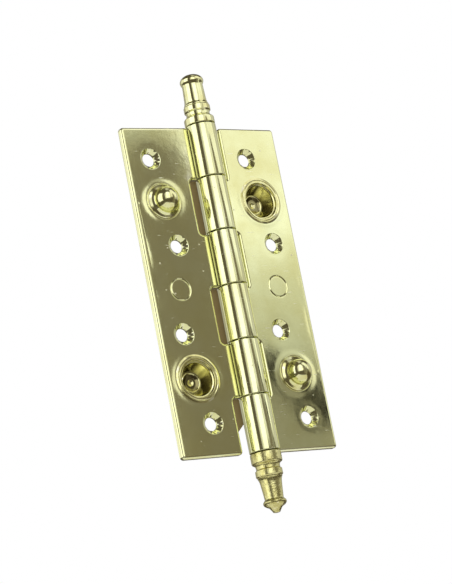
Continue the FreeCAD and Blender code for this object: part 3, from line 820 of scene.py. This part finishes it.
def repeated(seed, tree, inputs):
    # the seed piece run through the tree; the sockets are set by identifier
    modifier = seed.modifiers.new("row", "NODES")
    modifier.node_group = tree
    sockets = {item.name: item.identifier for item in tree.interface.items_tree if item.in_out == "INPUT"}
    for label, value in inputs.items():
        modifier[sockets[label]] = value
    mesh = evaluatedMesh(seed, seed.name + "Row")
    bpy.data.objects.remove(seed)
    return mesh


def leafPiece(name, s, place):
    tree = rowTree(name + "Rows")
    knuckles = repeated(meshObject(name + "Knuckle", knuckleMesh(s, knuckleSet)), tree, {
        "Count": s["knuckles"] // 2, "Start": (0.0, 0.0, s["top"] * mm), "Spacing": s["pitch"] * mm,
        "Sidestep": 0.0, "Metal": leafMetal})
    first, second = screwCentres[:2]
    sinks = repeated(meshObject(name + "Sink", sinkMesh(s)), tree, {
        "Count": len(screwCentres), "Start": (first[0] * mm, 0.0, first[1] * mm),
        "Spacing": (first[1] - second[1]) * mm, "Sidestep": (second[0] - first[0]) * mm, "Metal": leafMetal})
    bm = plateMesh(s)
    bmesh.ops.remove_doubles(bm, verts=bm.verts, dist=s["plateWeld"])
    for part in (knuckles, sinks):
        bm.from_mesh(part)
        bpy.data.meshes.remove(part)
    bmesh.ops.remove_doubles(bm, verts=bm.verts, dist=s["joinWeld"])
    bmesh.ops.recalc_face_normals(bm, faces=bm.faces)
    bm.transform(place)
    return meshObject(name, bm)


frameLeaf = leafPiece("frameLeafPlate", leafSet, Matrix.Identity(4))
doorLeaf = leafPiece("doorLeafPlate", leafSet, doorPlace)
finish(frameLeaf, "frame_side", "leaf_plate", leafMetal, "frame_leaf")
finish(doorLeaf, "door_side", "leaf_plate", leafMetal, "door_leaf")
print("leaves pressed and rolled")


# The hinge lies close to the surface behind it, so what shows through the notches is in shade.
shadeSet = {
    "colour": "#7a6a46", "roughness": 0.8, "glow": 0.35, "left": -10.4, "right": -4.6, "depth": (4.0, 5.2),
    "overlap": 1.5, "slant": 5.0, "lastShare": 0.66,
}


def makeShade(s):
    bm = bmesh.new()
    for i in range(leafSet["knuckles"] // 2):
        high = leafSet["top"] - i * leafSet["pitch"] - leafSet["knuckle"] + s["overlap"]
        low = high - leafSet["pitch"] + leafSet["knuckle"] - 2 * s["overlap"]
        slant = 0.0
        if low < -leafSet["top"]:
            # the surface behind ends here, so the shade runs out towards the leaves' lower edge
            low = high - s["lastShare"] * (high + leafSet["top"])
            slant = s["slant"]
        (x0, x1), (y0, y1) = (s["left"], s["right"]), s["depth"]
        bm.faces.new([bm.verts.new(Vector(p) * mm) for p in
                      ((x0, y0, low), (x1, y1, low + slant), (x1, y1, high), (x0, y0, high))])
    shade = meshObject("notchShade", bm)
    shade.data.materials.append(
        mattPaint("matt brown shade", s["colour"], s["roughness"], s["colour"], s["glow"]))
    shade.visible_glossy = False


makeShade(shadeSet)


studSet = {
    "dome": 5.7, "domeCentre": 2.6, "domeSteps": 24, "flange": studFlange, "flangeRise": 0.45, "under": 0.05,
    "flare": 7.8, "flareTop": 2.0, "shank": 5.0, "rivet": 6.15,
}
cupSet = {
    "flange": cupFlange, "rise": 0.4, "mouth": 8.3, "ledge": 7.55, "floor": 4.6, "depth": 6.7, "wall": 1.0,
    "body": 9.3, "under": 0.04, "punch": 1.6, "ridge": 0.8,
    # shares of painted shade: at the punch mark, on the floor, at the wall's foot, and how steeply it grows
    # down the wall
    "punchTone": 0.1, "floorTone": 0.80, "wallTone": 0.95, "wallFall": 3,
}


def outOfFace(centre):
    # the piece's own height runs out of the face, towards the front
    return (Matrix.Translation((centre[0] * mm, leafSet["front"] * mm, centre[1] * mm))
            @ Matrix.Rotation(math.pi / 2, 4, "X"))


def studProfile(s, sheet, rivetDepth):
    # rivet, shank, flange with a groove in it, and the flare that runs up into the dome
    dome, flange, rise, flare = s["dome"], s["flange"], s["flangeRise"], s["flare"]
    path = roundedPath([
        (0, -sheet, 0), (s["rivet"], -sheet, 0.12), (s["shank"], -sheet + rivetDepth, 0),
        (s["shank"], -s["under"], 0), (flange, -s["under"], 0.1), (flange, rise - 0.1, 0.2),
        (flange - 0.3, rise, 0.15), (flange - 0.55, rise - 0.22, 0.1),
        (flare, rise - 0.2, 0.1), (flare - 0.2, rise + 0.05, 0.2),
        (dome + 0.9, 1.1, 1.6), (dome + 0.02, s["flareTop"], 1.6), (dome, s["domeCentre"], 0),
    ])
    path += [(dome * cosine, s["domeCentre"] + dome * sine) for cosine, sine in quarterTurn(s["domeSteps"])]
    return path


def cupProfile(s, sheet, stake):
    # punch mark, floor ridge, wall, grooved rim and flange, then the outside down to the bottom
    depth, rise, mouth, body = s["depth"], s["rise"], s["mouth"], s["body"]
    floor, ledge, flange, under = s["floor"], s["ledge"], s["flange"], s["under"]
    return roundedPath([
        (0, -depth - 0.45, 0), (0.6, -depth - 0.42, 0.8), (1.5, -depth - 0.08, 0.7),
        (2.6, -depth - 0.08, 1.2), (floor - 0.9, -depth + 0.35, 0.4), (floor - 0.35, -depth + 0.75, 0.35),
        (floor + 0.2, -depth + 0.5, 0.2), (ledge - 0.1, -1.5, 0.8), (ledge, -0.75, 0.25),
        (mouth - 0.15, -0.55, 0.25),
        (mouth + 0.1, rise, 0.32), (body - 0.1, rise, 0.35), (body + 0.15, rise - 0.2, 0.12),
        (body + 0.3, rise - 0.2, 0.12), (body + 0.6, rise, 0.3), (flange - 0.05, 0.06, 0.05),
        (flange, 0.0, 0.02), (flange, -under, 0), (body, -under, 0), (body, -sheet + stake, 0),
        (body + stake - 0.03, -sheet, 0.08), (body, -sheet, 0.12),
        (floor + s["wall"], -depth - s["wall"], 1.1), (0, -depth - s["wall"], 0),
    ])


def cupPaintedShade(radius, height):
    # painted shade inside the cup: the floor is dark and the wall darkens towards its foot; the ridge round
    # the floor, the punch mark and everything outside the mouth stay near the plain colour
    s = cupSet
    if radius > s["mouth"] - 0.2 or height < -s["depth"] - 0.3:
        return 0.0
    if radius < s["floor"] - s["ridge"]:
        return s["floorTone"] if radius > s["punch"] else s["punchTone"]
    if radius < s["floor"] + 0.05:
        return 0.0
    return s["wallTone"] * min(1.0, -height / s["depth"]) ** s["wallFall"]


sheet = leafSet["sheet"]
for side, body, place in (("frame", "frame_side", Matrix.Identity(4)), ("door", "door_side", doorPlace)):
    studPath = studProfile(studSet, sheet, leafSet["rivetDepth"])
    stud = turnedPiece(side + "LockStud", studPath, place @ outOfFace(studCentre))
    finish(stud, body, "stud_plate", studMetal, side + "_stud")
    cupPath = cupProfile(cupSet, sheet, leafSet["stakeDepth"])
    cup = turnedPiece(side + "LockCup", cupPath, place @ outOfFace(cupCentre), insideShade=cupPaintedShade)
    finish(cup, body, "cup_plate", cupMetal, side + "_socket")
print("studs riveted, cups staked")


finialSet = {
    "barrel": leafSet["barrel"], "edge": 0.45, "blend": 0.22, "seat": leafSet["top"] + 0.4,
    "collarRound": 0.8, "hollow": 0.55, "hollowFrom": 2.0, "hollowFall": 0.9,
    "fillet": 1.1, "filletFall": 0.35,
    "edgeSteps": 6, "collarSteps": 8, "capSteps": 20, "step": 0.14, "tipStep": 0.12,
    "upper": dict(collar=3.6, neck=5.3, bead=6.5, beadCentre=7.7, beadHalf=2.6, foot=5.1, head=4.6,
                  cap=5.35, capCentre=21.0, capHalf=3.3),
    "lower": dict(collar=4.8, neck=5.3, bead=6.7, beadCentre=8.9, beadHalf=2.6, foot=5.1, head=4.0,
                  cap=5.15, capCentre=22.0, capHalf=2.4, tip=1.4, tipEnd=26.5, tipHollow=0.35, tipBlunt=0.45),
}
pinSet = {"radius": 3.75, "spigot": 2.5, "spigotLength": 9.0, "bevel": 0.3, "segments": 64}


def softMax(values, blend):
    top = max(values)
    return top + blend * math.log(sum(math.exp((v - top) / blend) for v in values))


def finialProfile(s, end):
    e = s[end]
    barrel, edge, corner = s["barrel"], s["edge"], s["collarRound"]
    none = -9.0  # a radius so far below the others that it doesn't count
    path = [(0, 0), (barrel - edge, 0)]
    path += [(barrel - edge + edge * sine, edge - edge * cosine)
             for cosine, sine in quarterTurn(s["edgeSteps"])]
    path += [(barrel - corner + corner * cosine, e["collar"] - corner + corner * sine)
             for cosine, sine in quarterTurn(s["collarSteps"], 0)]

    def oval(h, radius, centre, half):
        inside = 1 - ((h - centre) / half) ** 2
        return radius * math.sqrt(inside) if inside > 0 else none

    def radiusAt(h):
        along = (h - e["beadCentre"]) / (e["capCentre"] - e["beadCentre"])
        parts = [e["neck"] if h < e["beadCentre"] else none,
                 oval(h, e["bead"], e["beadCentre"], e["beadHalf"]),
                 oval(h, e["cap"], e["capCentre"], e["capHalf"])]
        if 0 < along < 1:
            # the column leaves the bead in a hollow curve
            beyond = max(h - e["beadCentre"] - s["hollowFrom"], 0)
            parts.append(e["foot"] + (e["head"] - e["foot"]) * along
                         + s["hollow"] * math.exp(-beyond / s["hollowFall"]))
        if "tip" in e and h >= e["capCentre"]:
            along = (h - e["capCentre"]) / (e["tipEnd"] - e["capCentre"])
            base = e["cap"] - 0.2
            parts.append(base + (e["tip"] - base) * along - e["tipHollow"] * math.sin(math.pi * along))
        return softMax(parts, s["blend"])

    h = e["collar"] + 0.02
    while h < e["capCentre"]:
        fillet = s["fillet"] * math.exp(-(h - e["collar"]) / s["filletFall"])
        path.append((min(radiusAt(h) + fillet, barrel - corner - 0.05), h))
        h += s["step"]
    if "tip" not in e:
        path += [(e["cap"] * cosine, e["capCentre"] + e["capHalf"] * sine)
                 for cosine, sine in quarterTurn(s["capSteps"])]
        return path
    while h < e["tipEnd"] - e["tipBlunt"]:
        path.append((radiusAt(h), h))
        h += s["tipStep"]
    blunt, last = path[-1]
    path += [(blunt * cosine, last + (e["tipEnd"] - last) * sine)
             for cosine, sine in quarterTurn(s["edgeSteps"])]
    return path


upward = Matrix.Translation((0, 0, finialSet["seat"] * mm))
downward = Matrix.Translation((0, 0, -finialSet["seat"] * mm)) @ Matrix.Rotation(math.pi, 4, "X")
upperFinial = turnedPiece("upperFinialTurning", finialProfile(finialSet, "upper"), upward)
lowerFinial = turnedPiece("lowerFinialCasting", finialProfile(finialSet, "lower"), downward)
finish(upperFinial, "pin", "polished_finial", upperMetal, "upper_finial")
finish(lowerFinial, "pin", "cast_finial", lowerMetal, "lower_finial")


def pinProfile(s):
    radius, spigot, bevel = s["radius"], s["spigot"], s["bevel"]
    shoulder = pinEnd - s["spigotLength"]
    upper = [(radius, shoulder - bevel), (radius - bevel, shoulder), (spigot, shoulder),
             (spigot, pinEnd - bevel), (spigot - bevel, pinEnd), (0, pinEnd)]
    return [(r, -h) for r, h in reversed(upper)] + upper


pin = turnedPiece("hingePinBar", pinProfile(pinSet), Matrix.Identity(4), segments=pinSet["segments"])
finish(pin, "pin", "pin_steel", pinMetal, "hinge_pin")
print("pin and finials turned")
